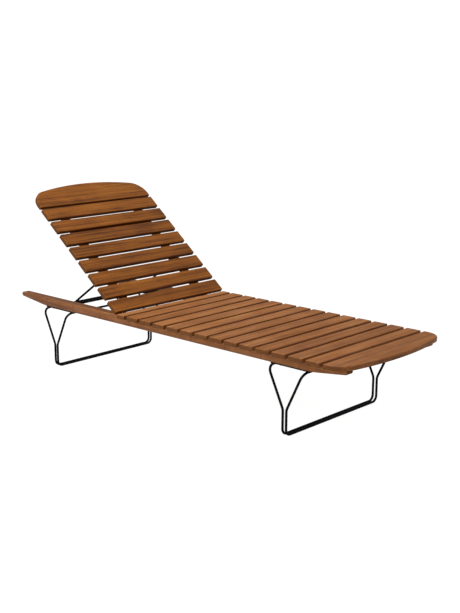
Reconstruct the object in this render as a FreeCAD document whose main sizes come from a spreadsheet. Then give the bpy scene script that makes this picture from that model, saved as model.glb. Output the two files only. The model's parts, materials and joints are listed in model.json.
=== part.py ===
import FreeCAD, Part
import math
import os
import re
import Sketcher
from FreeCAD import Placement, Rotation, Vector

SEAT_SLATS = 14
BACK_SLATS = 8
NOTCH_STEPS = (-2, -1, 0, 1)
SIDES = (("left", -1), ("right", 1))

# Driving sizes in millimetres, angles in degrees.
SIZES = (
    ("slat_length", 660, "slats across the lounger, its overall width"),
    ("slat_width", 65, "one slat"),
    ("slat_thickness", 18, "one slat"),
    ("slat_gap", 15, "between slats"),
    ("slat_round", 4, "upper edges and ends of the slats"),
    ("slat_under_round", 2, "lower edges of the slats"),
    ("hinge_slat_width", 45, "first seat slat, beside the backrest"),
    ("hinge_slat_lead", 54.3, "its front edge ahead of the backrest pivot"),
    ("foot_slat_depth", 120, "foot slat at its crown"),
    ("head_slat_depth", 122, "head slat at its crown"),
    ("head_slat_gap", 10, "below the head slat"),
    ("crown_radius", 1350, "bowed edge of the head and foot slats"),
    ("end_corner", 80, "corners of the head and foot slats"),
    ("end_screw_set", 40, "screw line from the straight edge of an end slat"),
    ("seat_height", 331, "top of the seat above the floor"),
    ("rail_width", 38, "side rail"),
    ("rail_height", 40, "side rail"),
    ("rail_inset", 48, "rail outer face in from the slat ends"),
    ("rail_head_reach", 720.7, "rail head end behind the pivot"),
    ("rail_foot_inset", 48, "rail foot end in from the foot slat crown"),
    ("rail_head_taper", 176, "length of the rising underside at the head"),
    ("rail_foot_taper", 155, "length of the rising underside at the foot"),
    ("rail_head_nose", 18, "rail height left at the head end"),
    ("rail_foot_nose", 20, "rail height left at the foot end"),
    ("rail_sweep", 500, "radius where the underside starts to rise"),
    ("nose_under_round", 7, "lower edge of the rail ends"),
    ("nose_over_round", 5, "upper edge of the rail ends"),
    ("rail_round", 3, "long edges of the rails"),
    ("leg_rod", 10, "diameter of the leg rod"),
    ("leg_inset", 38, "rod centre in from the slat ends"),
    ("leg_pair", 17.4, "between the two rods of a leg below the knee"),
    ("leg_spread", 168, "between the two rods of a leg under the rails"),
    ("knee_height", 105.5, "knee of the legs above the floor"),
    ("floor_bend", 24, "bend radius at the floor"),
    ("knee_bend", 38, "bend radius at the knee"),
    ("top_bend", 30, "bend radius under the rails"),
    ("front_leg_setback", 273.5, "front leg centre from the rail foot end"),
    ("rear_leg_setback", 262, "rear leg centre from the rail head end"),
    ("plate_thickness", 6, "leg mounting plate"),
    ("plate_width", 24, "leg mounting plate, across the rail"),
    ("plate_overhang", 5, "plate end beyond the centre of a top rod"),
    ("plate_corner", 4, "plate corners"),
    ("plate_screw_step", 80, "between the two screws of a plate, along the rail"),
    ("plate_screw_shift", 8, "between the two screws of a plate, across the rail"),
    ("back_angle", 39, "backrest in the pictured position"),
    ("notch_step", 9.5, "backrest angle from one rack notch to the next"),
    ("pivot_drop", 28, "backrest pivot below the rail top"),
    ("back_start", 29.2, "first back slat from the pivot"),
    ("lie_flat_gap", 1, "back slats above the rails when flat"),
    ("batten_width", 36, "backrest batten"),
    ("batten_depth", 22, "backrest batten"),
    ("batten_start", 48, "batten lower end from the pivot"),
    ("batten_cover", 60, "batten run under the head slat"),
    ("crossbar_width", 40, "bar between the battens"),
    ("crossbar_depth", 18, "bar between the battens"),
    ("arm_thickness", 4, "hinge arm"),
    ("arm_reach", 104, "length of the hinge arm on the batten"),
    ("arm_neck", 38, "straight low part of the hinge arm from the pivot"),
    ("arm_rise", 12, "length of the slope up to the batten"),
    ("arm_margin", 2, "hinge arm edge inside the batten edge"),
    ("arm_screw_step", 30, "between the hinge arm screws"),
    ("ear_radius", 11, "hinge arm eye"),
    ("hinge_play", 0.3, "side play of the hinge"),
    ("bush_wall", 1.5, "hinge bush"),
    ("flange_thickness", 1, "hinge bush flange"),
    ("flange_width", 3, "hinge bush flange beyond the bush"),
    ("running_play", 0.05, "radial play of turning fits"),
    ("pivot_diameter", 10, "shoulder of the pivot bolt"),
    ("bolt_head", 16, "pivot bolt head"),
    ("bolt_head_thickness", 5, "pivot bolt head"),
    ("bolt_socket", 6, "hexagon socket across flats"),
    ("bolt_thread", 8, "pivot bolt thread"),
    ("thread_length", 11, "pivot bolt thread"),
    ("insert_wall", 2, "threaded insert in the rail"),
    ("insert_length", 12, "threaded insert in the rail"),
    ("screw_diameter", 4.5, "slat and leg screws"),
    ("screw_head", 9, "slat and leg screws"),
    ("screw_head_thickness", 3, "slat and leg screws"),
    ("screw_bite", 12, "slat screws into the slats"),
    ("seat_screw_length", 32, "seat slat screws under the head"),
    ("back_screw_length", 26, "back slat screws under the head"),
    ("leg_screw_length", 25, "leg screws under the head"),
    ("fitting_screw", 4, "screws of the smaller fittings"),
    ("fitting_head", 8, "screws of the smaller fittings"),
    ("fitting_head_thickness", 2.2, "screws of the smaller fittings"),
    ("fitting_screw_length", 13, "screws of the smaller fittings under the head"),
    ("crossbar_screw_length", 56, "crossbar screws under the head"),
    ("screw_play", 0.1, "radial room round every screw"),
    ("tip_room", 1, "room past a screw tip"),
    ("prop_length", 274.5, "prop, hinge to foot, and pivot to prop hinge"),
    ("prop_rod", 10, "diameter of the prop rods"),
    ("prop_top_inset", 25.7, "prop arms in from the battens at the hinge"),
    ("prop_foot_inset", 18, "prop arms in from the ends of the foot bar"),
    ("prop_end_room", 1, "foot bar ends short of the rack plates"),
    ("prop_end_stub", 4, "hinge bar past the brackets"),
    ("bracket_thickness", 3.5, "prop bracket"),
    ("bracket_width", 30, "prop bracket"),
    ("bracket_skirt", 10, "prop bracket below the hinge bar centre"),
    ("bracket_screw_step", 16, "between the two screws of a bracket"),
    ("rack_plate_thickness", 4, "plate behind the rack"),
    ("rack_plate_margin", 5, "plate top below the rail top"),
    ("rack_width", 12, "toothed bar of the rack"),
    ("rack_height", 12.2, "toothed bar of the rack"),
    ("rack_end", 14, "rack beyond the travel of the foot bar"),
    ("rack_play", 0.3, "foot bar over the rack teeth"),
    ("notch_depth", 3, "rack notches"),
)

doc = FreeCAD.newDocument("sun_lounger")
sheet = doc.addObject("Spreadsheet::Sheet", "Sizes")
for row, (alias, number, note) in enumerate(SIZES, start=1):
    sheet.set(f"A{row}", alias)
    sheet.set(f"B{row}", str(number))
    sheet.set(f"C{row}", note)
    sheet.setAlias(f"B{row}", alias)
doc.recompute()
ALIASES = re.compile(r"\b(" + "|".join(entry[0] for entry in SIZES) + r")\b")

# Places worked out from the sizes, as formula text.
PITCH = "(slat_width + slat_gap)"
SEAT_RUN = f"(hinge_slat_lead + {SEAT_SLATS - 1} * {PITCH})"
PIVOT_X = f"((rail_head_reach - {SEAT_RUN} - slat_gap - foot_slat_depth) / 2)"
FOOT_SLAT_X = f"({PIVOT_X} + {SEAT_RUN} + slat_gap)"
RAIL_HEAD_X = f"({PIVOT_X} - rail_head_reach)"
RAIL_FOOT_X = f"({FOOT_SLAT_X} + foot_slat_depth - rail_foot_inset)"
RAIL_TOP = "(seat_height - slat_thickness)"
RAIL_BOTTOM = f"({RAIL_TOP} - rail_height)"
RAIL_MID = "(slat_length / 2 - rail_inset - rail_width / 2)"
RAIL_INNER = f"({RAIL_MID} - rail_width / 2)"
PIVOT_Z = f"({RAIL_TOP} - pivot_drop)"
BACK_UNDER = "(pivot_drop + lie_flat_gap)"
HEAD_SLAT = f"(back_start + {BACK_SLATS} * {PITCH} - slat_gap + head_slat_gap)"
BATTEN_END = f"({HEAD_SLAT} + batten_cover)"
BATTEN_LOW = f"({BACK_UNDER} - batten_depth)"
ARM_OUTER = f"({RAIL_INNER} - hinge_play - flange_thickness)"
ARM_INNER = f"({ARM_OUTER} - arm_thickness)"
BATTEN_MID = f"({ARM_INNER} - batten_width / 2)"
BATTEN_INNER = f"({ARM_INNER} - batten_width)"
BACK_COS = "cos(back_angle * 1deg)"
BACK_SIN = "sin(back_angle * 1deg)"
BUSH_DIAMETER = "(pivot_diameter + 2 * running_play + 2 * bush_wall)"
LEG_CENTRES = {
    "front": f"({RAIL_FOOT_X} - front_leg_setback)",
    "rear": f"({RAIL_HEAD_X} + rear_leg_setback)",
}
ROD_TOP_Z = f"({RAIL_BOTTOM} - plate_thickness - leg_rod / 2)"
RACK_TOP = f"({PIVOT_Z} - prop_rod / 2 - rack_play)"
RACK_FOOT = f"({PIVOT_X} - 2 * prop_length * cos((back_angle + notch_step) * 1deg) + rack_end)"
RACK_HEAD = f"({PIVOT_X} - 2 * prop_length - rack_end)"
RACK_PLATE_FACE = f"({RAIL_INNER} - rack_plate_thickness)"
PROP_TOP_HALF = f"({BATTEN_INNER} + prop_end_stub)"
PROP_FOOT_HALF = f"({RACK_PLATE_FACE} - prop_end_room)"
SCREW_HOLE = "(screw_diameter + 2 * screw_play)"
SCREW_HEAD_HOLE = "(screw_head + 2 * screw_play)"
FITTING_HOLE = "(fitting_screw + 2 * screw_play)"
FITTING_HEAD_HOLE = "(fitting_head + 2 * screw_play)"


def formula(text):
    return ALIASES.sub(r"Sizes.\1", text)


def value(text):
    return float(sheet.evalExpression(formula(text)))


def bind(target, path, text):
    target.setExpression(path, formula(text))


def place(target, x, y, z):
    for axis, text in zip("xyz", (x, y, z)):
        bind(target, f"Placement.Base.{axis}", text)


def lean(target, along, y, up, turn=1):
    """Place a piece drawn for the flat backrest on the raised one, from the pivot up along it."""
    target.Placement = Placement(Vector(), Rotation(Vector(0, turn, 0), value("back_angle")))
    x = f"{PIVOT_X} - ({along}) * {BACK_COS} + ({up}) * {BACK_SIN}"
    z = f"{PIVOT_Z} + ({along}) * {BACK_SIN} + ({up}) * {BACK_COS}"
    place(target, x, y, z)
    bind(target, "Placement.Rotation.Angle", "back_angle * 1deg")


def new_body(label):
    body = doc.addObject("PartDesign::Body", label)
    body.Label = label
    return body


def new_sketch(body, role, height="0"):
    sketch = body.newObject("Sketcher::SketchObject", f"{body.Name}_sketch")
    plane = next(item for item in body.Origin.OriginFeatures if item.Role == role)
    sketch.AttachmentSupport = [(plane, "")]
    sketch.MapMode = "FlatFace"
    bind(sketch, "AttachmentOffset.Base.z", height)
    return sketch


def measure(sketch, kind, entity, text, *point):
    """Add one driving dimension to a sketch and tie it to the sheet."""
    origin = (-1, 1) if kind.startswith("Distance") else ()
    constraint = Sketcher.Constraint(kind, *origin, entity, *point, value(text))
    index = sketch.addConstraint(constraint)
    bind(sketch, f"Constraints[{index}]", text)


def polygon(sketch, corners):
    spots = [Vector(value(x), value(y), 0) for x, y in corners]
    count = len(spots)
    for index in range(count):
        sketch.addGeometry(Part.LineSegment(spots[index], spots[(index + 1) % count]))
    for index in range(count):
        following = (index + 1) % count
        sketch.addConstraint(Sketcher.Constraint("Coincident", index, 2, following, 1))
    for index, (x, y) in enumerate(corners):
        measure(sketch, "DistanceX", index, x, 1)
        measure(sketch, "DistanceY", index, y, 1)


def circles(sketch, centres, diameter):
    for x, y in centres:
        spot = Vector(value(x), value(y), 0)
        ring = Part.Circle(spot, Vector(0, 0, 1), value(diameter) / 2)
        index = sketch.addGeometry(ring)
        measure(sketch, "DistanceX", index, x, 3)
        measure(sketch, "DistanceY", index, y, 3)
        measure(sketch, "Diameter", index, diameter)


def pad(body, sketch, length, side_type="Symmetric"):
    feature = body.newObject("PartDesign::Pad", f"{body.Name}_pad")
    feature.Profile = sketch
    feature.SideType = side_type
    bind(feature, "Length", length)
    doc.recompute()


def drill(body, role, centres, diameter, start, toward, length):
    """Cut round holes from a plane at height start, towards +1 or -1 along its axis."""
    solid_before = body.Shape.Volume
    normal = 1 if role == "XY_Plane" else -1
    sketch = new_sketch(body, role, f"{normal} * ({start})")
    circles(sketch, centres, diameter)
    feature = body.newObject("PartDesign::Pocket", f"{body.Name}_holes")
    feature.Profile = sketch
    feature.Reversed = toward == normal
    bind(feature, "Length", length)
    doc.recompute()
    if solid_before - body.Shape.Volume < 1:
        raise ValueError(f"holes of {body.Label} cut nothing")


def round_edges(body, radius, chosen):
    tip = body.Tip
    names = [f"Edge{index}" for index, edge in enumerate(tip.Shape.Edges, start=1) if chosen(edge)]
    feature = body.newObject("PartDesign::Fillet", f"{body.Name}_round")
    feature.Base = (tip, names)
    bind(feature, "Radius", radius)
    doc.recompute()


def near(first, second):
    return abs(first - second) < 0.01


def lies_at(edge, axis, text):
    box = edge.BoundBox
    level = value(text)
    return near(getattr(box, f"{axis}Min"), level) and near(getattr(box, f"{axis}Max"), level)


def spans(edge, axis, text):
    return near(getattr(edge.BoundBox, f"{axis}Length"), value(text))


def finish_slat(body, corner_lines):
    """Round a slat that was padded up from its underside, with square corners on the given lines."""
    def upper_or_corner(edge):
        upright = spans(edge, "Z", "slat_thickness")
        corner = upright and any(lies_at(edge, "X", line) for line in corner_lines)
        return corner or lies_at(edge, "Z", "slat_thickness")

    round_edges(body, "slat_round", upper_or_corner)
    round_edges(body, "slat_under_round", lambda edge: lies_at(edge, "Z", "0") and not edge.isClosed())


def slat(label, width, screw_line):
    """A straight slat: front edge on the local Y axis, underside at zero."""
    body = new_body(label)
    sketch = new_sketch(body, "XY_Plane")
    half = "slat_length / 2"
    polygon(sketch, [(f"-{width}", f"-{half}"), ("0", f"-{half}"), ("0", half), (f"-{width}", half)])
    pad(body, sketch, "slat_thickness", "One side")
    spots = [(f"-{width} / 2", f"{side} * {screw_line}") for _, side in SIDES]
    drill(body, "XY_Plane", spots, SCREW_HOLE, "0", 1, "screw_bite + tip_room")
    finish_slat(body, ("0", f"-{width}"))
    return body


def end_slat(label, depth, direction, screw_line):
    """A deeper slat with a bowed edge: straight edge on the local Y axis, underside at zero."""
    body = new_body(label)
    sketch = new_sketch(body, "XY_Plane")
    half = value("slat_length / 2")
    radius = value("crown_radius")
    centre_x = f"{direction} * ({depth} - crown_radius)"
    centre = Vector(value(centre_x), 0, 0)
    edge_x = centre.x + direction * (radius**2 - half**2) ** 0.5
    spots = [Vector(0, half, 0), Vector(0, -half, 0), Vector(edge_x, -half, 0), Vector(edge_x, half, 0)]
    swing = math.asin(half / radius)
    facing = 0 if direction > 0 else math.pi
    bow = Part.ArcOfCircle(Part.Circle(centre, Vector(0, 0, 1), radius), facing - swing, facing + swing)
    for first, second in ((0, 1), (1, 2), (3, 0)):
        sketch.addGeometry(Part.LineSegment(spots[first], spots[second]))
    sketch.addGeometry(bow)
    low_end = 1 if direction > 0 else 2
    joins = ((0, 2, 1, 1), (2, 2, 0, 1), (1, 2, 3, low_end), (2, 1, 3, 3 - low_end))
    for join in joins:
        sketch.addConstraint(Sketcher.Constraint("Coincident", *join))
    sketch.addConstraint(Sketcher.Constraint("Horizontal", 1))
    sketch.addConstraint(Sketcher.Constraint("Horizontal", 2))
    measure(sketch, "DistanceX", 0, "0", 1)
    measure(sketch, "DistanceY", 0, "slat_length / 2", 1)
    measure(sketch, "DistanceX", 0, "0", 2)
    measure(sketch, "DistanceY", 0, "-slat_length / 2", 2)
    measure(sketch, "DistanceX", 3, centre_x, 3)
    measure(sketch, "DistanceY", 3, "0", 3)
    measure(sketch, "Radius", 3, "crown_radius")
    pad(body, sketch, "slat_thickness", "One side")
    round_edges(body, "end_corner",
                lambda edge: spans(edge, "Z", "slat_thickness") and not lies_at(edge, "X", "0"))
    spots = [(f"{direction} * end_screw_set", f"{side} * {screw_line}") for _, side in SIDES]
    drill(body, "XY_Plane", spots, SCREW_HOLE, "0", 1, "screw_bite + tip_room")
    finish_slat(body, ("0",))
    return body


def seat_front(index):
    return f"({PIVOT_X} + hinge_slat_lead + {index} * {PITCH})"


def seat_width(index):
    return "hinge_slat_width" if index == 0 else "slat_width"


def back_edge(index):
    return f"(back_start + {index} * {PITCH})"


SEAT_SCREW_LINES = [f"({seat_front(index)} - {seat_width(index)} / 2)" for index in range(SEAT_SLATS)]
SEAT_SCREW_LINES.append(f"({FOOT_SLAT_X} + end_screw_set)")
BACK_SCREW_LINES = [f"({back_edge(index)} + slat_width / 2)" for index in range(BACK_SLATS)]
BACK_SCREW_LINES.append(f"({HEAD_SLAT} + end_screw_set)")
CROSSBAR_LINES = {
    "lower": f"({back_edge(BACK_SLATS - 2)} - slat_gap / 2)",
    "upper": f"({HEAD_SLAT} - head_slat_gap / 2)",
}
SEAT_SCREW_SEAT = f"({RAIL_TOP} + screw_bite - seat_screw_length)"
BACK_SCREW_SEAT = f"({BACK_UNDER} + screw_bite - back_screw_length)"
RACK_SCREW_Z = f"({RAIL_TOP} - rack_plate_margin - fitting_head)"
RACK_SCREW_LINES = [
    f"({RACK_HEAD} + rack_end)",
    f"(({RACK_HEAD} + {RACK_FOOT}) / 2)",
    f"({RACK_FOOT} - rack_end)",
]
ARM_SCREW_LINES = [
    f"(batten_start + arm_rise + arm_reach / 2 + {step} * arm_screw_step)" for step in (-1, 0, 1)
]
BATTEN_MIDLINE = f"({BACK_UNDER} - batten_depth / 2)"
CROSSBAR_MIDLINE = f"({BACK_UNDER} - crossbar_depth / 2)"
BRACKET_SCREW_LINES = [f"(prop_length + {step} * bracket_screw_step / 2)" for step in (-1, 1)]


def plate_screw_spots(centre):
    """The two screws of a leg plate, set on the diagonal about the rail centre line."""
    return [(f"({centre} + {step} * plate_screw_step / 2)", f"({step} * plate_screw_shift / 2)")
            for step in (-1, 1)]


def rail(label, side):
    body = new_body(label)
    sketch = new_sketch(body, "XZ_Plane")
    polygon(sketch, [
        (RAIL_HEAD_X, RAIL_TOP),
        (RAIL_HEAD_X, f"{RAIL_TOP} - rail_head_nose"),
        (f"{RAIL_HEAD_X} + rail_head_taper", RAIL_BOTTOM),
        (f"{RAIL_FOOT_X} - rail_foot_taper", RAIL_BOTTOM),
        (RAIL_FOOT_X, f"{RAIL_TOP} - rail_foot_nose"),
        (RAIL_FOOT_X, RAIL_TOP),
    ])
    pad(body, sketch, "rail_width")
    round_edges(body, "rail_sweep",
                lambda edge: spans(edge, "Y", "rail_width") and lies_at(edge, "Z", RAIL_BOTTOM))
    ends = (RAIL_HEAD_X, RAIL_FOOT_X)
    round_edges(body, "nose_under_round",
                lambda edge: spans(edge, "Y", "rail_width")
                and any(lies_at(edge, "X", end) for end in ends) and not lies_at(edge, "Z", RAIL_TOP))
    round_edges(body, "nose_over_round",
                lambda edge: any(lies_at(edge, "X", end) for end in ends) and lies_at(edge, "Z", RAIL_TOP))
    round_edges(body, "rail_round",
                lambda edge: any(lies_at(edge, "Y", f"{sign} * rail_width / 2") for sign in (-1, 1)))
    screw_spots = [(line, "0") for line in SEAT_SCREW_LINES]
    drill(body, "XY_Plane", screw_spots, SCREW_HOLE, "0", 1, "seat_height")
    drill(body, "XY_Plane", screw_spots, SCREW_HEAD_HOLE, "0", 1, SEAT_SCREW_SEAT)
    plate_spots = [spot for centre in LEG_CENTRES.values() for spot in plate_screw_spots(centre)]
    pilot_top = f"({RAIL_BOTTOM} - plate_thickness + leg_screw_length + tip_room)"
    drill(body, "XY_Plane", plate_spots, SCREW_HOLE, "0", 1, pilot_top)
    inner_face = f"{-side} * rail_width / 2"
    insert_bore = "(bolt_thread + 2 * insert_wall)"
    drill(body, "XZ_Plane", [(PIVOT_X, PIVOT_Z)], insert_bore, inner_face, side, "insert_length")
    rack_spots = [(line, RACK_SCREW_Z) for line in RACK_SCREW_LINES]
    pilot = "fitting_screw_length - rack_plate_thickness + fitting_head_thickness + 2 * tip_room"
    drill(body, "XZ_Plane", rack_spots, FITTING_HOLE, inner_face, side, pilot)
    place(body, "0", f"{side} * {RAIL_MID}", "0")
    return body


def leg_plate(label, centre, side):
    body = new_body(label)
    sketch = new_sketch(body, "XY_Plane")
    reach = "(leg_spread / 2 + plate_overhang)"
    half = "plate_width / 2"
    polygon(sketch, [(f"-{reach}", f"-{half}"), (reach, f"-{half}"), (reach, half), (f"-{reach}", half)])
    pad(body, sketch, "plate_thickness", "One side")
    round_edges(body, "plate_corner", lambda edge: spans(edge, "Z", "plate_thickness"))
    drill(body, "XY_Plane", plate_screw_spots("0"), SCREW_HOLE, "0", 1, "plate_thickness")
    place(body, centre, f"{side} * {RAIL_MID}", f"{RAIL_BOTTOM} - plate_thickness")
    return body


def bent_run(corners, bends):
    """A path of straight runs with an arc of the given radius at each inner corner."""
    edges = []
    start = corners[0]
    for index, radius in enumerate(bends, start=1):
        corner = corners[index]
        back = (corners[index - 1] - corner).normalize()
        ahead = (corners[index + 1] - corner).normalize()
        bisector = (back + ahead).normalize()
        cos_half = bisector.dot(ahead)
        sin_half = (1 - cos_half**2) ** 0.5
        setback = radius * cos_half / sin_half
        middle = corner + bisector * (radius / sin_half - radius)
        entry = corner + back * setback
        leave = corner + ahead * setback
        edges.append(Part.makeLine(start, entry))
        edges.append(Part.Arc(entry, middle, leave).toShape())
        start = leave
    edges.append(Part.makeLine(start, corners[-1]))
    return Part.Wire(edges)


def leg_loop(label, centre, direction):
    """One closed loop of bent rod: floor run, two kneed sides, run under the rails."""
    low_x = direction * value("leg_pair / 2")
    high_x = direction * value("leg_spread / 2")
    rod = value("leg_rod")
    top = value(ROD_TOP_Z)
    knee = value("knee_height")
    bends = [value("floor_bend"), value("knee_bend"), value("top_bend")]
    halves = []
    for _, side in SIDES:
        y = side * value("slat_length / 2 - leg_inset")
        corners = [
            Vector(low_x, 0, rod / 2),
            Vector(low_x, y, rod / 2),
            Vector(low_x, y, knee),
            Vector(high_x, y, top),
            Vector(high_x, 0, top),
        ]
        ring = Part.makeCircle(rod / 2, corners[0], Vector(0, 1, 0))
        halves.append(bent_run(corners, bends).makePipeShell([Part.Wire([ring])], True, True))
    feature = doc.addObject("Part::Feature", label)
    feature.Label = label
    feature.Shape = halves[0].fuse(halves[1]).removeSplitter().Solids[0]
    place(feature, centre, "0", "0")
    return feature


def batten(label, side):
    body = new_body(label)
    sketch = new_sketch(body, "XZ_Plane")
    polygon(sketch, [
        (f"-{BATTEN_END}", BATTEN_LOW),
        ("-batten_start", BATTEN_LOW),
        ("-batten_start", BACK_UNDER),
        (f"-{BATTEN_END}", BACK_UNDER),
    ])
    pad(body, sketch, "batten_width")
    round_edges(body, "rail_round",
                lambda edge: lies_at(edge, "Z", BATTEN_LOW))
    screw_spots = [(f"-{line}", "0") for line in BACK_SCREW_LINES]
    drill(body, "XY_Plane", screw_spots, SCREW_HOLE, BATTEN_LOW, 1, "batten_depth")
    drill(body, "XY_Plane", screw_spots, SCREW_HEAD_HOLE, BATTEN_LOW, 1, f"{BACK_SCREW_SEAT} - {BATTEN_LOW}")
    outer_face = f"{side} * batten_width / 2"
    inner_face = f"{-side} * batten_width / 2"
    arm_spots = [(f"-{line}", BATTEN_MIDLINE) for line in ARM_SCREW_LINES]
    pilot = "fitting_screw_length + tip_room - arm_thickness + fitting_head_thickness"
    drill(body, "XZ_Plane", arm_spots, FITTING_HOLE, outer_face, -side, pilot)
    bracket_spots = [(f"-{line}", BATTEN_MIDLINE) for line in BRACKET_SCREW_LINES]
    pilot = "fitting_screw_length + tip_room - bracket_thickness"
    drill(body, "XZ_Plane", bracket_spots, FITTING_HOLE, inner_face, side, pilot)
    bar_spots = [(f"-{line}", CROSSBAR_MIDLINE) for line in CROSSBAR_LINES.values()]
    drill(body, "XZ_Plane", bar_spots, SCREW_HOLE, outer_face, -side, "batten_width")
    drill(body, "XZ_Plane", bar_spots, SCREW_HEAD_HOLE, outer_face, -side, "screw_head_thickness + tip_room")
    lean(body, "0", f"{side} * {BATTEN_MID}", "0")
    return body


def crossbar(label, line):
    body = new_body(label)
    sketch = new_sketch(body, "XZ_Plane")
    low = "-crossbar_depth"
    half = "crossbar_width / 2"
    polygon(sketch, [(f"-{half}", low), (half, low), (half, "0"), (f"-{half}", "0")])
    pad(body, sketch, f"2 * {BATTEN_INNER}")
    round_edges(body, "rail_round",
                lambda edge: spans(edge, "Y", f"2 * {BATTEN_INNER}") and lies_at(edge, "Z", low))
    depth = "crossbar_screw_length - batten_width + screw_head_thickness + 2 * tip_room"
    for _, side in SIDES:
        drill(body, "XZ_Plane", [("0", "-crossbar_depth / 2")], SCREW_HOLE,
              f"{side} * {BATTEN_INNER}", -side, depth)
    lean(body, line, "0", BACK_UNDER)
    return body


def hinge_arm(label, side):
    """Cranked steel strip: eye on the pivot, low neck under the seat, pad on the batten."""
    body = new_body(label)
    sketch = new_sketch(body, "XZ_Plane")
    pad_low = f"({BATTEN_LOW} + arm_margin)"
    pad_high = f"({BACK_UNDER} - arm_margin)"
    pad_start = "(batten_start + arm_margin)"
    pad_end = "(batten_start + arm_rise + arm_reach)"
    polygon(sketch, [
        ("0", "arm_margin"),
        ("-arm_neck", "arm_margin"),
        (f"-{pad_start}", pad_low),
        (f"-{pad_start}", pad_high),
        (f"-{pad_end}", pad_high),
        (f"-{pad_end}", pad_low),
        (f"-({pad_start} + 2 * arm_rise)", pad_low),
        (f"-({pad_start} + arm_rise)", "-ear_radius + arm_margin"),
        ("0", "-ear_radius + arm_margin"),
    ])
    pad(body, sketch, "arm_thickness")
    eye = new_sketch(body, "XZ_Plane")
    circles(eye, [("0", "0")], "2 * ear_radius")
    pad(body, eye, "arm_thickness")
    through = "arm_thickness"
    outer_face = f"{side} * arm_thickness / 2"
    drill(body, "XZ_Plane", [("0", "0")], BUSH_DIAMETER, outer_face, -side, through)
    spots = [(f"-{line}", BATTEN_MIDLINE) for line in ARM_SCREW_LINES]
    drill(body, "XZ_Plane", spots, FITTING_HOLE, outer_face, -side, through)
    drill(body, "XZ_Plane", spots, FITTING_HEAD_HOLE, outer_face, -side, "fitting_head_thickness")
    lean(body, "0", f"{side} * ({ARM_OUTER} - arm_thickness / 2)", "0")
    return body


def prop_bracket(label, side):
    body = new_body(label)
    sketch = new_sketch(body, "XZ_Plane")
    half = "bracket_width / 2"
    high = f"({BACK_UNDER} - arm_margin)"
    polygon(sketch, [
        (f"-prop_length - {half}", f"{BATTEN_LOW}"),
        ("-prop_length - bracket_skirt", "-bracket_skirt"),
        ("-prop_length + bracket_skirt", "-bracket_skirt"),
        (f"-prop_length + {half}", f"{BATTEN_LOW}"),
        (f"-prop_length + {half}", high),
        (f"-prop_length - {half}", high),
    ])
    pad(body, sketch, "bracket_thickness")
    inner_face = f"{-side} * bracket_thickness / 2"
    bore = "(prop_rod + 2 * running_play)"
    drill(body, "XZ_Plane", [("-prop_length", "0")], bore, inner_face, side, "bracket_thickness")
    spots = [(f"-{line}", BATTEN_MIDLINE) for line in BRACKET_SCREW_LINES]
    drill(body, "XZ_Plane", spots, FITTING_HOLE, inner_face, side, "bracket_thickness")
    lean(body, "0", f"{side} * ({BATTEN_INNER} - bracket_thickness / 2)", "0")
    return body


def rack_plate(label, side):
    body = new_body(label)
    sketch = new_sketch(body, "XZ_Plane")
    low = f"({RACK_TOP} - rack_height)"
    high = f"({RAIL_TOP} - rack_plate_margin)"
    polygon(sketch, [(RACK_HEAD, low), (RACK_FOOT, low), (RACK_FOOT, high), (RACK_HEAD, high)])
    pad(body, sketch, "rack_plate_thickness")
    face = f"{-side} * rack_plate_thickness / 2"
    spots = [(line, RACK_SCREW_Z) for line in RACK_SCREW_LINES]
    drill(body, "XZ_Plane", spots, FITTING_HOLE, face, side, "rack_plate_thickness")
    drill(body, "XZ_Plane", spots, FITTING_HEAD_HOLE, face, side, "fitting_head_thickness")
    place(body, "0", f"{side} * ({RAIL_INNER} - rack_plate_thickness / 2)", "0")
    return body


def rack(label, side):
    """Toothed bar: a round notch under the foot bar at every backrest step."""
    body = new_body(label)
    sketch = new_sketch(body, "XZ_Plane")
    low = f"({RACK_TOP} - rack_height)"
    polygon(sketch, [(RACK_HEAD, low), (RACK_FOOT, low), (RACK_FOOT, RACK_TOP), (RACK_HEAD, RACK_TOP)])
    pad(body, sketch, "rack_width")
    spots = []
    for step in NOTCH_STEPS:
        angle = f"((back_angle + {step} * notch_step) * 1deg)"
        spots.append((f"{PIVOT_X} - 2 * prop_length * cos{angle}", f"{PIVOT_Z} - rack_play - notch_depth"))
    notch = "(prop_rod + 2 * rack_play)"
    drill(body, "XZ_Plane", spots, notch, "-rack_width / 2", 1, "rack_width")
    place(body, "0", f"{side} * ({RACK_PLATE_FACE} - rack_width / 2)", "0")
    return body


def turned(profile):
    """A solid of revolution about Z from (radius, height) points."""
    outline = Part.makePolygon([Vector(radius, 0, height) for radius, height in profile + profile[:1]])
    return Part.Face(outline).revolve(Vector(), Vector(0, 0, 1), 360)


def screw(diameter, head, head_thickness, length):
    """A screw along +Z with the underside of its head at zero."""
    shank = value(diameter) / 2
    rim = value(head) / 2
    thickness = value(head_thickness)
    end = value(length)
    return turned([
        (0, -thickness),
        (rim - thickness / 3, -thickness),
        (rim, -thickness * 2 / 3),
        (rim, 0),
        (shank, 0),
        (shank, end - 2 * shank),
        (0, end),
    ])


def group(label, solid, spots, on_back=False):
    """Copies of one solid as a single piece; each spot is a position and a direction for +Z."""
    copies = []
    for position, direction in spots:
        copy = solid.copy()
        copy.Placement = Placement(Vector(*position), Rotation(Vector(0, 0, 1), Vector(*direction)))
        copies.append(copy)
    feature = doc.addObject("Part::Feature", label)
    feature.Label = label
    feature.Shape = Part.makeCompound(copies)
    if on_back:
        lean(feature, "0", "0", "0")
    return feature


def across(lines, level, face, inward):
    """Screw spots on both sides, heads at the given face, pointing inwards or outwards."""
    spots = []
    for _, side in SIDES:
        turn = -side if inward else side
        for line in lines:
            spots.append(((value(line), side * value(face), value(level)), (0, turn, 0)))
    return spots


def rod(label, length, diameter):
    feature = doc.addObject("Part::Cylinder", label)
    feature.Label = label
    bind(feature, "Radius", f"{diameter} / 2")
    bind(feature, "Height", length)
    feature.Placement = Placement(Vector(), Rotation(Vector(1, 0, 0), -90))
    return feature


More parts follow.
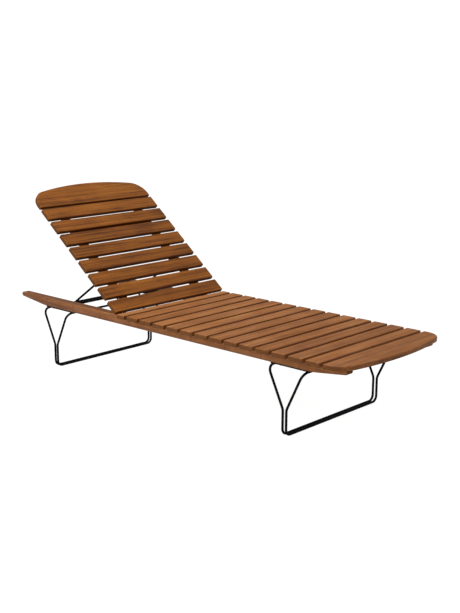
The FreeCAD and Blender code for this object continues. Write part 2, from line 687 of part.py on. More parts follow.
def prop_arm(label, side):
    """A rod from the hinge bar to the foot bar, its ends coped round both bars."""
    radius = value("prop_rod / 2")
    top = Vector(0, side * value(f"{BATTEN_INNER} - prop_top_inset"), 0)
    foot = Vector(-value("prop_length"), side * value(f"{PROP_FOOT_HALF} - prop_foot_inset"), 0)
    shape = Part.makeCylinder(radius, (foot - top).Length, top, foot - top)
    half = value(RAIL_INNER)
    for end in (top, foot):
        bar = Part.makeCylinder(radius, 2 * half, Vector(end.x, -half, 0), Vector(0, 1, 0))
        shape = shape.cut(bar)
    feature = doc.addObject("Part::Feature", label)
    feature.Label = label
    feature.Shape = shape.Solids[0]
    lean(feature, "prop_length", "0", "0", -1)
    return feature


nodes = []

# Seat frame: rails, slats and the foot slat.
for name, side in SIDES:
    nodes.append(rail(f"{name}_rail", side))
for index in range(SEAT_SLATS):
    piece = slat(f"seat_slat_{index + 1:02d}", seat_width(index), RAIL_MID)
    place(piece, seat_front(index), "0", RAIL_TOP)
    nodes.append(piece)
foot_slat = end_slat("foot_slat", "foot_slat_depth", 1, RAIL_MID)
place(foot_slat, FOOT_SLAT_X, "0", RAIL_TOP)
nodes.append(foot_slat)

# Legs and their plates.
for leg, centre in LEG_CENTRES.items():
    nodes.append(leg_loop(f"{leg}_leg_head_loop", centre, -1))
    nodes.append(leg_loop(f"{leg}_leg_foot_loop", centre, 1))
    for name, side in SIDES:
        nodes.append(leg_plate(f"{leg}_{name}_plate", centre, side))

# Racks for the prop.
for name, side in SIDES:
    nodes.append(rack_plate(f"{name}_rack_plate", side))
    nodes.append(rack(f"{name}_rack", side))

# Backrest: slats, battens, crossbars, hinge arms and prop brackets.
for index in range(BACK_SLATS):
    piece = slat(f"back_slat_{index + 1:02d}", "slat_width", BATTEN_MID)
    lean(piece, back_edge(index), "0", BACK_UNDER)
    nodes.append(piece)
head_slat = end_slat("head_slat", "head_slat_depth", -1, BATTEN_MID)
lean(head_slat, HEAD_SLAT, "0", BACK_UNDER)
nodes.append(head_slat)
for name, side in SIDES:
    nodes.append(batten(f"{name}_batten", side))
    nodes.append(hinge_arm(f"{name}_hinge_arm", side))
    nodes.append(prop_bracket(f"{name}_prop_bracket", side))
for name, line in CROSSBAR_LINES.items():
    nodes.append(crossbar(f"{name}_crossbar", line))

# Prop: hinge bar, foot bar and two arms.
top_bar = rod("prop_top_bar", f"2 * {PROP_TOP_HALF}", "prop_rod")
place(top_bar, f"{PIVOT_X} - prop_length * {BACK_COS}", f"-{PROP_TOP_HALF}",
      f"{PIVOT_Z} + prop_length * {BACK_SIN}")
nodes.append(top_bar)
foot_bar = rod("prop_foot_bar", f"2 * {PROP_FOOT_HALF}", "prop_rod")
place(foot_bar, f"{PIVOT_X} - 2 * prop_length * {BACK_COS}", f"-{PROP_FOOT_HALF}", PIVOT_Z)
nodes.append(foot_bar)
for name, side in SIDES:
    nodes.append(prop_arm(f"{name}_prop_arm", side))

# Pivot hardware.
pivot_lines = [PIVOT_X]
bolt_face = RAIL_INNER
shoulder = value(f"{RAIL_INNER} - {ARM_INNER} + hinge_play")
thread = value("thread_length")
neck = value("pivot_diameter / 2")
core = value("bolt_thread / 2")
cap = value("bolt_head / 2")
cap_end = -shoulder - value("bolt_head_thickness")
bolt = turned([(0, cap_end), (cap - 1, cap_end), (cap, cap_end + 1), (cap, -shoulder), (neck, -shoulder),
               (neck, 0), (core, 0), (core, thread - 1), (core - 1, thread), (0, thread)])
flats = value("bolt_socket")
socket = [Vector(flats / 3**0.5, 0, cap_end)]
for corner in range(1, 7):
    socket.append(Rotation(Vector(0, 0, 1), 60 * corner).multVec(socket[0]))
hexagon = Part.Face(Part.makePolygon(socket[:6] + socket[:1]))
bolt = bolt.cut(hexagon.extrude(Vector(0, 0, value("bolt_head_thickness") / 2)))
nodes.append(group("pivot_bolts", bolt, across(pivot_lines, PIVOT_Z, bolt_face, False)))
outside = value("bolt_thread / 2 + insert_wall")
insert_end = value("insert_length")
insert = turned([(core, 0), (outside, 0), (outside, insert_end), (core, insert_end)])
nodes.append(group("pivot_inserts", insert, across(pivot_lines, PIVOT_Z, RAIL_INNER, False)))
bore = value("pivot_diameter / 2 + running_play")
wall = value(f"{BUSH_DIAMETER} / 2")
brim = wall + value("flange_width")
lip = value("flange_thickness")
bush_end = value("arm_thickness")
bush = turned([(bore, -lip), (brim, -lip), (brim, 0), (wall, 0), (wall, bush_end), (bore, bush_end)])
nodes.append(group("hinge_bushes", bush, across(["0"], "0", ARM_OUTER, True), on_back=True))

# Screws.
slat_screw = ("screw_diameter", "screw_head", "screw_head_thickness")
fitting = ("fitting_screw", "fitting_head", "fitting_head_thickness", "fitting_screw_length")
seat_spots = [((value(line), side * value(RAIL_MID), value(SEAT_SCREW_SEAT)), (0, 0, 1))
              for _, side in SIDES for line in SEAT_SCREW_LINES]
nodes.append(group("seat_slat_screws", screw(*slat_screw, "seat_screw_length"), seat_spots))
leg_spots = []
for centre in LEG_CENTRES.values():
    for x, y in plate_screw_spots(centre):
        for _, side in SIDES:
            position = (value(x), side * value(RAIL_MID) + value(y), value(f"{RAIL_BOTTOM} - plate_thickness"))
            leg_spots.append((position, (0, 0, 1)))
nodes.append(group("leg_screws", screw(*slat_screw, "leg_screw_length"), leg_spots))
rack_face = f"({RACK_PLATE_FACE} + fitting_head_thickness)"
nodes.append(group("rack_screws", screw(*fitting), across(RACK_SCREW_LINES, RACK_SCREW_Z, rack_face, False)))
back_spots = [((-value(line), side * value(BATTEN_MID), value(BACK_SCREW_SEAT)), (0, 0, 1))
              for _, side in SIDES for line in BACK_SCREW_LINES]
nodes.append(group("back_slat_screws", screw(*slat_screw, "back_screw_length"), back_spots, on_back=True))
arm_lines = [f"-{line}" for line in ARM_SCREW_LINES]
arm_face = f"({ARM_OUTER} - fitting_head_thickness)"
fitting_spots = across(arm_lines, BATTEN_MIDLINE, arm_face, True)
bracket_lines = [f"-{line}" for line in BRACKET_SCREW_LINES]
bracket_face = f"({BATTEN_INNER} - bracket_thickness)"
fitting_spots += across(bracket_lines, BATTEN_MIDLINE, bracket_face, False)
nodes.append(group("back_fitting_screws", screw(*fitting), fitting_spots, on_back=True))
bar_lines = [f"-{line}" for line in CROSSBAR_LINES.values()]
bar_face = f"({ARM_INNER} - screw_head_thickness - tip_room)"
bar_spots = across(bar_lines, CROSSBAR_MIDLINE, bar_face, True)
nodes.append(group("crossbar_screws", screw(*slat_screw, "crossbar_screw_length"), bar_spots, on_back=True))

doc.recompute()
for item in doc.Objects:
    if "Invalid" in item.State or "Error" in item.State:
        raise ValueError(f"{item.Label} did not build")
os.makedirs("parts", exist_ok=True)
for node in nodes:
    if node.Shape.isNull() or not node.Shape.isValid():
        raise ValueError(f"{node.Label} has no valid shape")
    node.Shape.exportStep(f"parts/{node.Label}.step")
    box = node.Shape.BoundBox
    print(node.Label, len(node.Shape.Solids), round(node.Shape.Volume), [round(number, 1) for number in
          (box.XMin, box.XMax, box.YMin, box.YMax, box.ZMin, box.ZMax)])
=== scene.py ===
# %% [markdown]
# # A slatted sun lounger
# The construction model already holds every slat, rail, rod and screw in its true place and size.
# This lesson dresses it: a camera first, then one finish after another, the small weld beads that
# hold the steel together, and last a plain studio.
# Loading the model comes first, because everything else is measured from it.

# %% Load the construction model
import json
import math
import random

import bmesh
import bpy
from mathutils import Matrix, Vector


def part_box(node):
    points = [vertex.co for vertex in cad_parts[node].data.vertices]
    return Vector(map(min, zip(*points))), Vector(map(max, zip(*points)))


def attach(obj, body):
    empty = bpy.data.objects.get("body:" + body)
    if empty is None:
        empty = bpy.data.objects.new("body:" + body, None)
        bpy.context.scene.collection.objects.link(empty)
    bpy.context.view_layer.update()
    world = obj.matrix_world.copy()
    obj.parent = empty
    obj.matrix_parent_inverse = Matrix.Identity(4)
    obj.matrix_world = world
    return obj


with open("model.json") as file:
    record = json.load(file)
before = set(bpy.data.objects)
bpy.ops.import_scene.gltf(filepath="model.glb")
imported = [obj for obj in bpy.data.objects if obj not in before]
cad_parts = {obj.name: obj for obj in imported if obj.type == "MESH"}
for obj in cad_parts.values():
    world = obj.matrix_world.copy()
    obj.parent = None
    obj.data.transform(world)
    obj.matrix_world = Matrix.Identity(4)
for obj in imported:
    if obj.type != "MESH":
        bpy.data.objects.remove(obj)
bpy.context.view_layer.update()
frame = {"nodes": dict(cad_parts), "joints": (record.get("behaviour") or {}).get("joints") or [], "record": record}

nodes = frame["nodes"]
subparts = frame["record"]["subparts"]

# %% [markdown]
# ## The camera
# The picture was taken from the foot end, a little above the seat, turned about 43 degrees from
# a straight side view. A long lens keeps the slats nearly parallel. The view could be found by
# turning a camera by hand, but the straight edges of the slats, rails and legs fix it fully, so the
# solved place and directions are written down here as they came out.

# %% Camera
CAMERA_PLACE = Vector((3.0229, -3.1611, 1.3552))
CAMERA_TURN = math.radians(42.72)
CAMERA_RISE = math.radians(12.95)
CAMERA_ROLL = math.radians(0.25)
FOCAL_PIXELS = 1043.45
PICTURE_HEIGHT = 613
SENSOR = 36.0

backward = Vector((
    math.sin(CAMERA_TURN) * math.cos(CAMERA_RISE),
    -math.cos(CAMERA_TURN) * math.cos(CAMERA_RISE),
    math.sin(CAMERA_RISE),
))
level = Vector((math.cos(CAMERA_TURN), math.sin(CAMERA_TURN), 0))
upright = backward.cross(level)
right = math.cos(CAMERA_ROLL) * level + math.sin(CAMERA_ROLL) * upright
up = math.cos(CAMERA_ROLL) * upright - math.sin(CAMERA_ROLL) * level
turned = Matrix((right, up, backward)).transposed().to_4x4()

camera = bpy.data.objects.new("camera", bpy.data.cameras.new("camera"))
camera.data.sensor_width = SENSOR
camera.data.lens = FOCAL_PIXELS / PICTURE_HEIGHT * SENSOR
camera.matrix_world = Matrix.Translation(CAMERA_PLACE) @ turned
bpy.context.scene.collection.objects.link(camera)
bpy.context.scene.camera = camera
print("lens:", round(camera.data.lens, 2), "mm")

# %% [markdown]
# ## Shader sums in plain Python
# A procedural finish is mostly arithmetic on a few coordinates. Wiring a Math node for each plus
# and times sign is slow to write and hard to read. This small class wraps a socket, so that an
# ordinary Python expression adds the nodes by itself, and one method makes any other node.

# %% A socket that can be added and multiplied
COLOUR_FACTOR, COLOUR_LOW, COLOUR_HIGH, COLOUR_RESULT = 0, 6, 7, 2
GENERATED_OUTPUT, NORMAL_OUTPUT, OBJECT_OUTPUT = 0, 1, 3


class Flow:
    """A value on its way through a material's nodes."""

    def __init__(self, tree, socket=None):
        self.tree = tree
        self.socket = socket

    def make(self, kind, settings=None, inputs=None, output=0):
        node = self.tree.nodes.new("ShaderNode" + kind)
        for name, setting in (settings or {}).items():
            setattr(node, name, setting)
        for name, source in (inputs or {}).items():
            if isinstance(source, Flow):
                self.tree.links.new(source.socket, node.inputs[name])
            else:
                node.inputs[name].default_value = source
        return Flow(self.tree, node.outputs[output])

    def math(self, operation, *values):
        return self.make("Math", {"operation": operation}, dict(enumerate(values)))

    def __add__(self, other):
        return self.math("ADD", self, other)

    def __sub__(self, other):
        return self.math("SUBTRACT", self, other)

    def __rsub__(self, other):
        return self.math("SUBTRACT", other, self)

    def __mul__(self, other):
        return self.math("MULTIPLY", self, other)

    def __truediv__(self, other):
        return self.math("DIVIDE", self, other)

    __radd__ = __add__
    __rmul__ = __mul__

    def floor(self):
        return self.math("FLOOR", self)

    def size(self):
        return self.math("ABSOLUTE", self)

    def rise(self, start, end):
        """Zero up to start, one from end on, smooth between."""
        settings = {"interpolation_type": "SMOOTHSTEP"}
        return self.make("MapRange", settings, {"Value": self, "From Min": start, "From Max": end})

    def blend(self, low, high):
        """The colour low where this is zero, and high where it is one."""
        inputs = {COLOUR_FACTOR: self, COLOUR_LOW: low, COLOUR_HIGH: high}
        return self.make("Mix", {"data_type": "RGBA"}, inputs, COLOUR_RESULT)

    def parts(self):
        return [self.make("SeparateXYZ", None, {0: self}, output) for output in range(3)]

    def point(self, x, y, z):
        return self.make("CombineXYZ", None, {0: x, 1: y, 2: z})

    def coordinates(self, output=OBJECT_OUTPUT):
        return self.make("TexCoord", None, None, output)

    def noise(self, scale, detail=2.0, roughness=0.5):
        inputs = {"Vector": self, "Scale": scale, "Detail": detail, "Roughness": roughness}
        return self.make("TexNoise", None, inputs)

    def chance(self):
        """One random number for each value of a vector."""
        return self.make("TexWhiteNoise", None, {"Vector": self})


print("flow ready")

# %% [markdown]
# ## Starting a finish
# Every finish here begins with Blender's Principled shader and ends with a little bump from its own
# pattern. Four helpers save writing that each time: one starts a material, one joins a value to the
# shader, one raises the surface, and one lays the finish on a piece by its material slots, which
# leaves the construction model's meshes alone.

# %% Helpers for finishes
def new_finish(name):
    """A material with an empty Principled shader, and a Flow to build on."""
    finish = bpy.data.materials.new(name)
    finish.use_nodes = True
    shader = finish.node_tree.nodes["Principled BSDF"]
    return finish, shader, Flow(finish.node_tree)


def connect(shader, socket, flow):
    flow.tree.links.new(flow.socket, shader.inputs[socket])


def raise_grain(shader, height, strength, distance):
    settings = {"Height": height, "Strength": strength, "Distance": distance}
    connect(shader, "Normal", height.make("Bump", None, settings))


def paint(piece, finish):
    for slot in piece.material_slots:
        slot.material = finish


print("helpers ready")

# %% [markdown]
# ## The grain of the wood
# Slats, rails and battens are glued up from narrow strips with the fibres running lengthwise. Seen
# close, each strip has its own tone, fine fibre lines, wider streaks, and here and there a short
# dark mark across it where the stem had a joint. A picture of wood could be laid on, but it would
# stretch round the edges. Working from the piece's own coordinates instead, everything falls in the
# right place. All noise is stretched the same way: few waves along the fibres, many across them.

# %% Grain
STRIP_WIDTH = 0.0075
STRIP_WANDER = 0.0012
SLAT_MARKS = 0.27
MARK_CORE, MARK_EDGE = 0.0006, 0.0034


class Grain:
    """The patterns of one piece of wood, from its length, width and depth."""

    def __init__(self, flow, along, across, depth, marks, scatter):
        self.flow, self.place = flow, (along, across, depth)
        wander = self.stretched(3, 20, 1.0) - 0.5
        strip = ((across + wander * STRIP_WANDER) / STRIP_WIDTH).floor()
        layer = (depth / STRIP_WIDTH).floor()
        self.strips = flow.point(strip, layer, 1.0).chance()
        self.fibres = self.stretched(9, 420, 3.0, 0.6)
        self.streaks = self.stretched(2.6, 120, 2.0, 0.6)
        self.clouds = self.stretched(6, 9, 2.0)
        self.pores = self.stretched(60, 900, 1.0)

        in_strip = along / marks + flow.point(strip, layer, 7.0).chance() * scatter
        from_mark = (in_strip - in_strip.floor() - 0.5).size() * marks
        self.marks = (1 - from_mark.rise(MARK_CORE, MARK_EDGE)) * self.fibres.rise(0.25, 0.6)

    def stretched(self, waves_along, waves_across, detail, roughness=0.5):
        along, across, depth = self.place
        spread = self.flow.point(along * waves_along, across * waves_across, depth * waves_across)
        return spread.noise(1.0, detail, roughness)


print("wood strips are", STRIP_WIDTH * 1000, "mm wide")

# %% [markdown]
# ## The colour of the wood
# Oil brings out a dark, a middle and a light brown. They could be mixed by one noise, but real wood
# varies at every scale, so strips, fibres, streaks and clouds are added up to one tone, and two
# smooth ramps turn it into colour. Sun fades the wood to a paler, pinker brown in patches, and the
# long rail ends behind the backrest are darkened towards the head end with painted shade.

# %% Wood colours
WOOD_DARK = (0.105, 0.029, 0.0030, 1)
WOOD_MID = (0.285, 0.087, 0.0070, 1)
WOOD_LIGHT = (0.470, 0.170, 0.0230, 1)
WOOD_MARK = (0.070, 0.020, 0.0050, 1)
WOOD_WEATHERED = (0.330, 0.180, 0.118, 1)
STRIP_SHARE, FIBRE_SHARE, STREAK_SHARE, CLOUD_SHARE = 0.26, 0.90, 1.30, 0.60
TONE_BASE = -1.04
MARK_STRENGTH = 0.55
# Painted shade on the rail ends: full beyond the first x, fading out by the second.
END_SHADE_FULL_X, END_SHADE_START_X = -0.70, -0.25


def wood_colour(grain, x, tint, fading, end_shade):
    tone = (grain.strips * STRIP_SHARE + grain.fibres * FIBRE_SHARE + grain.streaks * STREAK_SHARE
            + grain.clouds * CLOUD_SHARE + (tint + TONE_BASE))
    # Painted shade: the rail ends are made darker towards the head end.
    if end_shade:
        tone = tone - (1 - x.rise(END_SHADE_FULL_X, END_SHADE_START_X)) * end_shade
    colour = tone.rise(0.00, 0.52).blend(WOOD_DARK, WOOD_MID)
    colour = tone.rise(0.48, 1.00).blend(colour, WOOD_LIGHT)
    colour = (grain.clouds * fading).blend(colour, WOOD_WEATHERED)
    return (grain.marks * MARK_STRENGTH).blend(colour, WOOD_MARK)


print("tone shares:", STRIP_SHARE, FIBRE_SHARE, STREAK_SHARE, CLOUD_SHARE)

# %% [markdown]
# ## Sides, ends and sheen
# The side faces of a slat get painted shade, a darker colour standing in for the shade in the narrow
# gaps between slats, and the cut ends are darker still and speckled, because they drink more oil.
# Both could be separate materials, but then every face would have to be sorted. The direction that a
# face looks in tells them apart instead. A leaning piece is turned level first, so the same test works on the
# backrest.

# %% Wood finish
WOOD_END = (0.050, 0.021, 0.0085, 1)
# Painted shade: the colour that the side faces of slats are darkened to, for the shade in the gaps.
WOOD_GAP_SHADE = (0.092, 0.024, 0.0035, 1)
END_STRENGTH = 0.80
WOOD_ROUGHNESS = 0.64
WOOD_SPECULAR = 0.19


def oiled_wood(name, lengthwise, shift, tint, fading=0.0, gap_shade=0.0,
               lean=0.0, marks=SLAT_MARKS, scatter=1.0, end_shade=0.0):
    """Wood whose fibres run along X or Y of a piece that leans back by some angle."""
    finish, shader, flow = new_finish(name)

    def levelled(output):
        turn = {"Vector": flow.coordinates(output), "Rotation": (0, -lean, 0)}
        return flow.make("Mapping", None, turn).parts()

    x, y, z = levelled(OBJECT_OUTPUT)
    along, across = (x, y) if lengthwise == "X" else (y, x)
    grain = Grain(flow, along + shift[0], across + shift[1], z + shift[2], marks, scatter)
    colour = wood_colour(grain, x, tint, fading, end_shade)

    facing_x, facing_y = levelled(NORMAL_OUTPUT)[:2]
    to_end, to_side = (facing_x, facing_y) if lengthwise == "X" else (facing_y, facing_x)
    # Painted shade: faces that look across the slat are darkened, standing in for the shade in the gaps between
    # slats.
    colour = (to_side.size().rise(0.60, 0.97) * gap_shade).blend(colour, WOOD_GAP_SHADE)
    cut_end = to_end.size().rise(0.55, 0.9)
    end_colour = grain.pores.rise(0.40, 0.75).blend(WOOD_END, WOOD_MID)
    connect(shader, "Base Color", (cut_end * END_STRENGTH).blend(colour, end_colour))

    sheen = WOOD_ROUGHNESS - grain.fibres * 0.16 + cut_end * 0.15 + grain.marks * 0.1
    connect(shader, "Roughness", sheen)
    relief = grain.fibres * 0.6 + grain.strips * 0.25 - grain.marks * 0.4
    raise_grain(shader, relief, 0.30, 0.0004)
    shader.inputs["Specular IOR Level"].default_value = WOOD_SPECULAR
    return finish


print("cut ends are mixed in by", END_STRENGTH)

# %% [markdown]
# ## Painting the wooden pieces
# Slats and crossbars have their fibres across the lounger, rails and battens along it. One finish
# for all would be quicker, but then neighbours would look alike, so each piece gets its own shift
# into the pattern and its own small change of tint. The rails have their joint marks at even
# steps. Towards the foot the seat slats get a little more painted shade, for the light falling off
# there, and the painted shade in their gaps gets lighter. The
# backrest's lean is read from its joint, which has the backrest flat at its lower limit.

# %% Wooden pieces
RAIL_MARKS = 0.187
FIRST_RAIL_MARK = -0.785
RAIL_FADING, SEAT_FADING = 0.48, 0.38
RAIL_TINT, SEAT_TINT, BACK_TINT = 0.08, 0.22, -0.12
TINT_SPREAD = 0.08
# Strength of the painted shade on the rail ends behind the backrest.
RAIL_END_SHADE = 0.40
# How strongly the side faces of slats are darkened with painted gap shade.
SLAT_GAP_SHADE = 0.75
# Painted shade that grows towards the foot on the seat slats, and painted gap shade that lessens towards the foot.
FOOT_SHADE_BY_SLAT, GAP_SHADE_DROP_BY_SLAT = 0.014, 0.04
FOOT_SLAT_NUMBER = 15
BACK_LEAN = math.radians(-frame["joints"][0]["range_deg"][0])

draw = random.Random(11)
wooden = [row["node"] for row in subparts if row["material_slot"] == "wood"]
on_backrest = frame["record"]["behaviour"]["bodies"]["backrest"]
for node in sorted(wooden):
    shift = [draw.uniform(-20, 20) for _ in range(3)]
    tint = draw.uniform(-TINT_SPREAD, TINT_SPREAD)
    fibre_axis = "X" if node.endswith(("_rail", "_batten")) else "Y"
    if node.endswith("_rail"):
        shift[0] = RAIL_MARKS / 2 - FIRST_RAIL_MARK
        look = {"tint": tint / 2 + RAIL_TINT, "fading": RAIL_FADING, "end_shade": RAIL_END_SHADE,
                "marks": RAIL_MARKS, "scatter": 0.0}
    elif node in on_backrest:
        look = {"tint": tint + BACK_TINT, "gap_shade": SLAT_GAP_SHADE, "lean": BACK_LEAN}
    else:
        number = FOOT_SLAT_NUMBER if node == "foot_slat" else int(node[-2:])
        # Seat slats: painted shade grows and painted gap shade lessens with the slat's number, towards the foot.
        look = {"tint": tint + SEAT_TINT - FOOT_SHADE_BY_SLAT * number, "fading": SEAT_FADING,
                "gap_shade": SLAT_GAP_SHADE - GAP_SHADE_DROP_BY_SLAT * number}
    paint(nodes[node], oiled_wood(f"wood_{node}", fibre_axis, shift, **look))
print("wooden pieces:", len(wooden))

# %% [markdown]
# ## The black coated steel
# Legs, plates, racks and prop are steel with a baked black powder coat. Powder melts into a skin
# with a faint orange-peel ripple. Plain black would look like a hole in the picture, so fine noise
# gives the ripple, which breaks up the light along each rod, and a wider one the slight change of
# sheen that handling leaves.

# %% Black coat
COAT_BLACK = (0.0030, 0.0030, 0.0033, 1)
COAT_WORN = (0.0070, 0.0069, 0.0067, 1)
COAT_SPECULAR = 0.06


def black_coat():
    finish, shader, flow = new_finish("black_coat")
    ripple = flow.coordinates().noise(900.0, 2.0)
    handling = flow.coordinates().noise(14.0, 3.0, 0.6)
    connect(shader, "Base Color", handling.rise(0.35, 0.75).blend(COAT_BLACK, COAT_WORN))
    connect(shader, "Roughness", 0.42 + handling * 0.16 + ripple * 0.06)
    raise_grain(shader, ripple, 0.18, 0.0002)
    shader.inputs["Specular IOR Level"].default_value = COAT_SPECULAR
    return finish


coat = black_coat()
coated = [row["node"] for row in subparts if row["material_slot"] == "black_steel"]
for node in coated:
    paint(nodes[node], coat)
print("coated pieces:", len(coated))

# %% [markdown]
# ## Fasteners and bushes
# Screws, bolts and inserts are zinc plated: a grey metal with blotchy brightness from the plating
# bath. The hinge bushes are dark nylon with a dull moulded skin. Both are small and mostly hidden,
# but from below they show, so they get their own finish instead of a flat grey.

# %% Zinc and nylon
ZINC_DULL = (0.36, 0.36, 0.35, 1)
ZINC_BRIGHT = (0.62, 0.62, 0.60, 1)
NYLON_DARK = (0.018, 0.018, 0.019, 1)
NYLON_PALE = (0.034, 0.034, 0.035, 1)


def zinc_plate():
    finish, shader, flow = new_finish("zinc_plate")
    blotches = flow.coordinates().noise(260.0, 3.0, 0.6)
    connect(shader, "Base Color", blotches.rise(0.3, 0.7).blend(ZINC_DULL, ZINC_BRIGHT))
    connect(shader, "Roughness", 0.30 + blotches * 0.25)
    raise_grain(shader, blotches, 0.12, 0.0001)
    shader.inputs["Metallic"].default_value = 1.0
    return finish


def moulded_nylon():
    finish, shader, flow = new_finish("moulded_nylon")
    skin = flow.coordinates().noise(1200.0, 2.0)
    connect(shader, "Base Color", skin.rise(0.3, 0.7).blend(NYLON_DARK, NYLON_PALE))
    connect(shader, "Roughness", 0.48 + skin * 0.14)
    raise_grain(shader, skin, 0.15, 0.0001)
    return finish


small_finishes = {"zinc_steel": zinc_plate(), "nylon": moulded_nylon()}
for row in subparts:
    if row["material_slot"] in small_finishes:
        paint(nodes[row["node"]], small_finishes[row["material_slot"]])
print("small finishes:", sorted(small_finishes))

# %% [markdown]
# ## A weld bead
# The rods run under flat plates and are welded to them on both sides. A weld is a row of small
# overlapping ripples. A plain cylinder would look like a glued-on stick, so a circle is extruded
# ring by ring instead, with every second ring drawn in a little and the end rings half closed.

# %% One bead
BEAD_RADIUS = 0.0021
BEAD_RINGS = 12
BEAD_TIP, BEAD_WAIST = 0.45, 0.86


def pour(part, mesh, place):
    """Set a finished small shape in its place and add it to a larger piece."""
    bmesh.ops.recalc_face_normals(part, faces=part.faces)
    bmesh.ops.transform(part, matrix=place, verts=part.verts)
    holder = bpy.data.meshes.new("holder")
    part.to_mesh(holder)
    part.free()
    mesh.from_mesh(holder)
    bpy.data.meshes.remove(holder)


def standing(spot, direction):
    """The place of a shape whose Z axis is to point in a direction."""
    return Matrix.Translation(spot) @ direction.to_track_quat("Z", "Y").to_matrix().to_4x4()


def add_bead(mesh, start, end, radius):
    run = end - start
    part = bmesh.new()
    bmesh.ops.create_circle(part, cap_ends=True, segments=10, radius=radius * BEAD_TIP)
    rim, width = list(part.edges), BEAD_TIP
    for index in range(1, BEAD_RINGS + 1):
        grown = bmesh.ops.extrude_edge_only(part, edges=rim)["geom"]
        ring = [item for item in grown if isinstance(item, bmesh.types.BMVert)]
        rim = [item for item in grown if isinstance(item, bmesh.types.BMEdge)
               and item.verts[0] in ring and item.verts[1] in ring]
        wider = BEAD_TIP if index == BEAD_RINGS else (1.0 if index % 2 else BEAD_WAIST)
        bmesh.ops.scale(part, vec=(wider / width, wider / width, 1), verts=ring)
        bmesh.ops.translate(part, vec=(0, 0, run.length / BEAD_RINGS), verts=ring)
        width = wider
    bmesh.ops.edgeloop_fill(part, edges=rim)
    pour(part, mesh, standing(start, run))


print("a bead has", BEAD_RINGS, "ripples")

# %% [markdown]
# ## The welds on the legs
# Each rod of a leg has a bead on either side under each of the two plates, eight beads to a leg.
# Their places are read from the boxes of the plates and of the rod loops, so they stay on the steel
# whatever the sizes are. All beads of a leg become one piece that rides on the frame.

# %% Leg welds
LEG_ROD_RADIUS = 0.005
BEAD_GAP, BEAD_LENGTH = 0.003, 0.014
BEAD_OFFSET = LEG_ROD_RADIUS * 0.86
BEAD_DROP = BEAD_RADIUS * 0.75


def finish_piece(name, mesh, body, finish):
    """Turn a bmesh into an object that rides on a body."""
    data = bpy.data.meshes.new(name)
    mesh.to_mesh(data)
    mesh.free()
    data.shade_smooth()
    data.materials.append(finish)
    piece = bpy.data.objects.new(name, data)
    bpy.context.scene.collection.objects.link(piece)
    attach(piece, body)
    print(name, len(data.polygons), "faces")


for leg in ("front", "rear"):
    mesh = bmesh.new()
    head_rod_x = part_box(f"{leg}_leg_head_loop")[0].x + LEG_ROD_RADIUS
    foot_rod_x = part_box(f"{leg}_leg_foot_loop")[1].x - LEG_ROD_RADIUS
    for rail_side in ("left", "right"):
        low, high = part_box(f"{leg}_{rail_side}_plate")
        side = 1 if high.y > 0 else -1
        inner = min(abs(low.y), abs(high.y)) + BEAD_GAP
        for rod_x in (head_rod_x, foot_rod_x):
            for bead_x in (rod_x - BEAD_OFFSET, rod_x + BEAD_OFFSET):
                start = Vector((bead_x, side * inner, low.z - BEAD_DROP))
                end = Vector((bead_x, side * (inner + BEAD_LENGTH), low.z - BEAD_DROP))
                add_bead(mesh, start, end, BEAD_RADIUS)
    finish_piece(f"{leg}_leg_welds", mesh, "frame", coat)

# %% [markdown]
# ## Weld collars on the prop
# The prop's arms are welded to its hinge bar and its foot bar. Here the bead runs all round the
# arm. Straight beads can't do that, so a small circle is spun about the arm's line into a ring.

# %% Prop welds
COLLAR_RADIUS = 0.0052
COLLAR_BEAD = 0.0014
COLLAR_SETBACK = 0.0054


def add_collar(mesh, spot, direction):
    part = bmesh.new()
    bmesh.ops.create_circle(part, segments=8, radius=COLLAR_BEAD)
    upended = Matrix.Translation((COLLAR_RADIUS, 0, 0)) @ Matrix.Rotation(math.pi / 2, 4, "X")
    bmesh.ops.transform(part, matrix=upended, verts=part.verts)
    bmesh.ops.spin(part, geom=list(part.verts) + list(part.edges), cent=(0, 0, 0), axis=(0, 0, 1),
                   dvec=(0, 0, 0), angle=2 * math.pi, steps=20, use_merge=True)
    pour(part, mesh, standing(spot, direction))


def bar_centre(node):
    low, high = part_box(node)
    return (low + high) / 2


hinge_centre, foot_centre = bar_centre("prop_top_bar"), bar_centre("prop_foot_bar")
mesh = bmesh.new()
for rail_side in ("left", "right"):
    low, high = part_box(f"{rail_side}_prop_arm")
    side = 1 if high.y > 0 else -1
    near_y, far_y = min(abs(low.y), abs(high.y)), max(abs(low.y), abs(high.y))
    top = Vector((hinge_centre.x, side * (near_y + COLLAR_RADIUS), hinge_centre.z))
    foot = Vector((foot_centre.x, side * (far_y - COLLAR_RADIUS), foot_centre.z))
    line = (foot - top).normalized()
    add_collar(mesh, top + line * COLLAR_SETBACK, line)
    add_collar(mesh, foot - line * COLLAR_SETBACK, line)
finish_piece("prop_welds", mesh, "prop", coat)

# %% [markdown]
# ## The floor
# The picture is a catalogue cut-out: a bare white ground almost without shadows. A plain white
# floor would need very strong lamps to look that white, so the floor here glows on its own like
# a light table, and a pale wall round its rim hides the horizon. Both are kept out of the bounced
# light, because they glow under the lounger too, where a real floor lies in shadow.

# %% Floor and wall
FLOOR_RADIUS = 30.0
RIM_HEIGHT = 15.0
FLOOR_SEGMENTS = 96
FLOOR_DULL = (0.14, 0.14, 0.14, 1)
FLOOR_PALE = (0.16, 0.16, 0.16, 1)


def glowing_floor():
    finish, shader, flow = new_finish("pale_floor")
    mottle = flow.coordinates().noise(6.0, 2.0)
    connect(shader, "Base Color", mottle.blend(FLOOR_DULL, FLOOR_PALE))
    shader.inputs["Roughness"].default_value = 0.9
    shader.inputs["Specular IOR Level"].default_value = 0.1
    shader.inputs["Emission Color"].default_value = (1, 1, 1, 1)
    shader.inputs["Emission Strength"].default_value = 0.95
    return finish


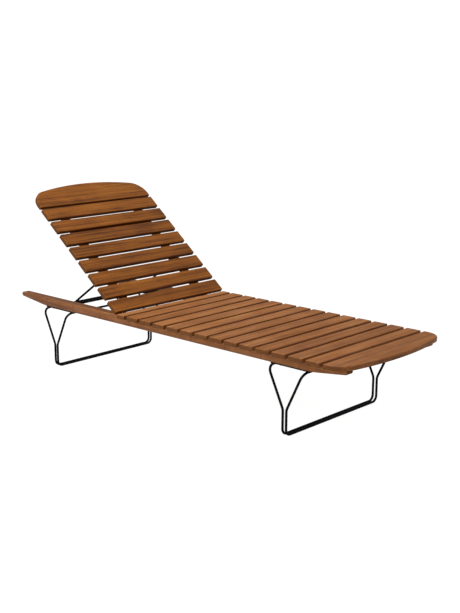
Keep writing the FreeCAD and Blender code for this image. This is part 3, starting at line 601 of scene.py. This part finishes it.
def add_stage(name, mesh, finish):
    data = bpy.data.meshes.new(name)
    mesh.to_mesh(data)
    mesh.free()
    data.materials.append(finish)
    piece = bpy.data.objects.new(name, data)
    bpy.context.scene.collection.objects.link(piece)
    piece.visible_diffuse = False
    piece.visible_glossy = False


pale_floor = glowing_floor()
mesh = bmesh.new()
bmesh.ops.create_circle(mesh, cap_ends=True, segments=FLOOR_SEGMENTS, radius=FLOOR_RADIUS)
add_stage("floor", mesh, pale_floor)

mesh = bmesh.new()
bmesh.ops.create_circle(mesh, segments=FLOOR_SEGMENTS, radius=FLOOR_RADIUS)
rim = bmesh.ops.extrude_edge_only(mesh, edges=list(mesh.edges))["geom"]
rim_corners = [item for item in rim if isinstance(item, bmesh.types.BMVert)]
bmesh.ops.translate(mesh, vec=(0, 0, RIM_HEIGHT), verts=rim_corners)
add_stage("wall", mesh, pale_floor)
print("floor radius:", FLOOR_RADIUS, "m")

# %% [markdown]
# ## The sky
# The sky gives the light that floor and wall are kept from giving: bright overhead, dim at the
# sides, bright again below where the far floor is, and dark straight down, where the lounger shades
# the floor. More lamps could do this too, but each would add an edge to the shadows.

# %% Sky
SKY_HIGH = 0.68
SKY_LOW = 0.06
FLOOR_GLOW = 0.85

sky = bpy.data.worlds.new("sky")
sky.use_nodes = True
height = Flow(sky.node_tree).coordinates(GENERATED_OUTPUT).parts()[2]
overhead = height.rise(0.0, 0.7)
far_floor = height.rise(-0.80, -0.35) * (1 - height.rise(-0.10, 0.05))
light = sky.node_tree.nodes["Background"]
connect(light, "Strength", SKY_LOW + overhead * (SKY_HIGH - SKY_LOW) + far_floor * FLOOR_GLOW)
light.inputs["Color"].default_value = (1, 1, 1, 1)
bpy.context.scene.world = sky
bpy.context.scene.view_settings.view_transform = "Standard"
print("sky from", SKY_LOW, "to", SKY_HIGH)

# %% [markdown]
# ## The panels
# Two large soft panels shape the wood: one hangs above the lounger, to the left of its head end,
# and one stands low on the left, for the rail and the slat ends. Small lamps could give as much
# light, but they throw hard shadows that the picture doesn't have.

# %% Panels
PANEL_WIDTH = 3.0
PANEL_AIM = Vector((0, 0, 0.3))


def add_panel(name, place, power):
    lamp = bpy.data.lights.new(name, "AREA")
    lamp.shape = "SQUARE"
    lamp.size = PANEL_WIDTH
    lamp.energy = power
    panel = bpy.data.objects.new(name, lamp)
    panel.location = place
    panel.rotation_euler = (PANEL_AIM - Vector(place)).to_track_quat("-Z", "Y").to_euler()
    bpy.context.scene.collection.objects.link(panel)
    print(name, power, "W")


add_panel("overhead_panel", (-0.7, -1.4, 3.0), 61)
add_panel("left_panel", (-0.6, -5.0, 0.8), 86)
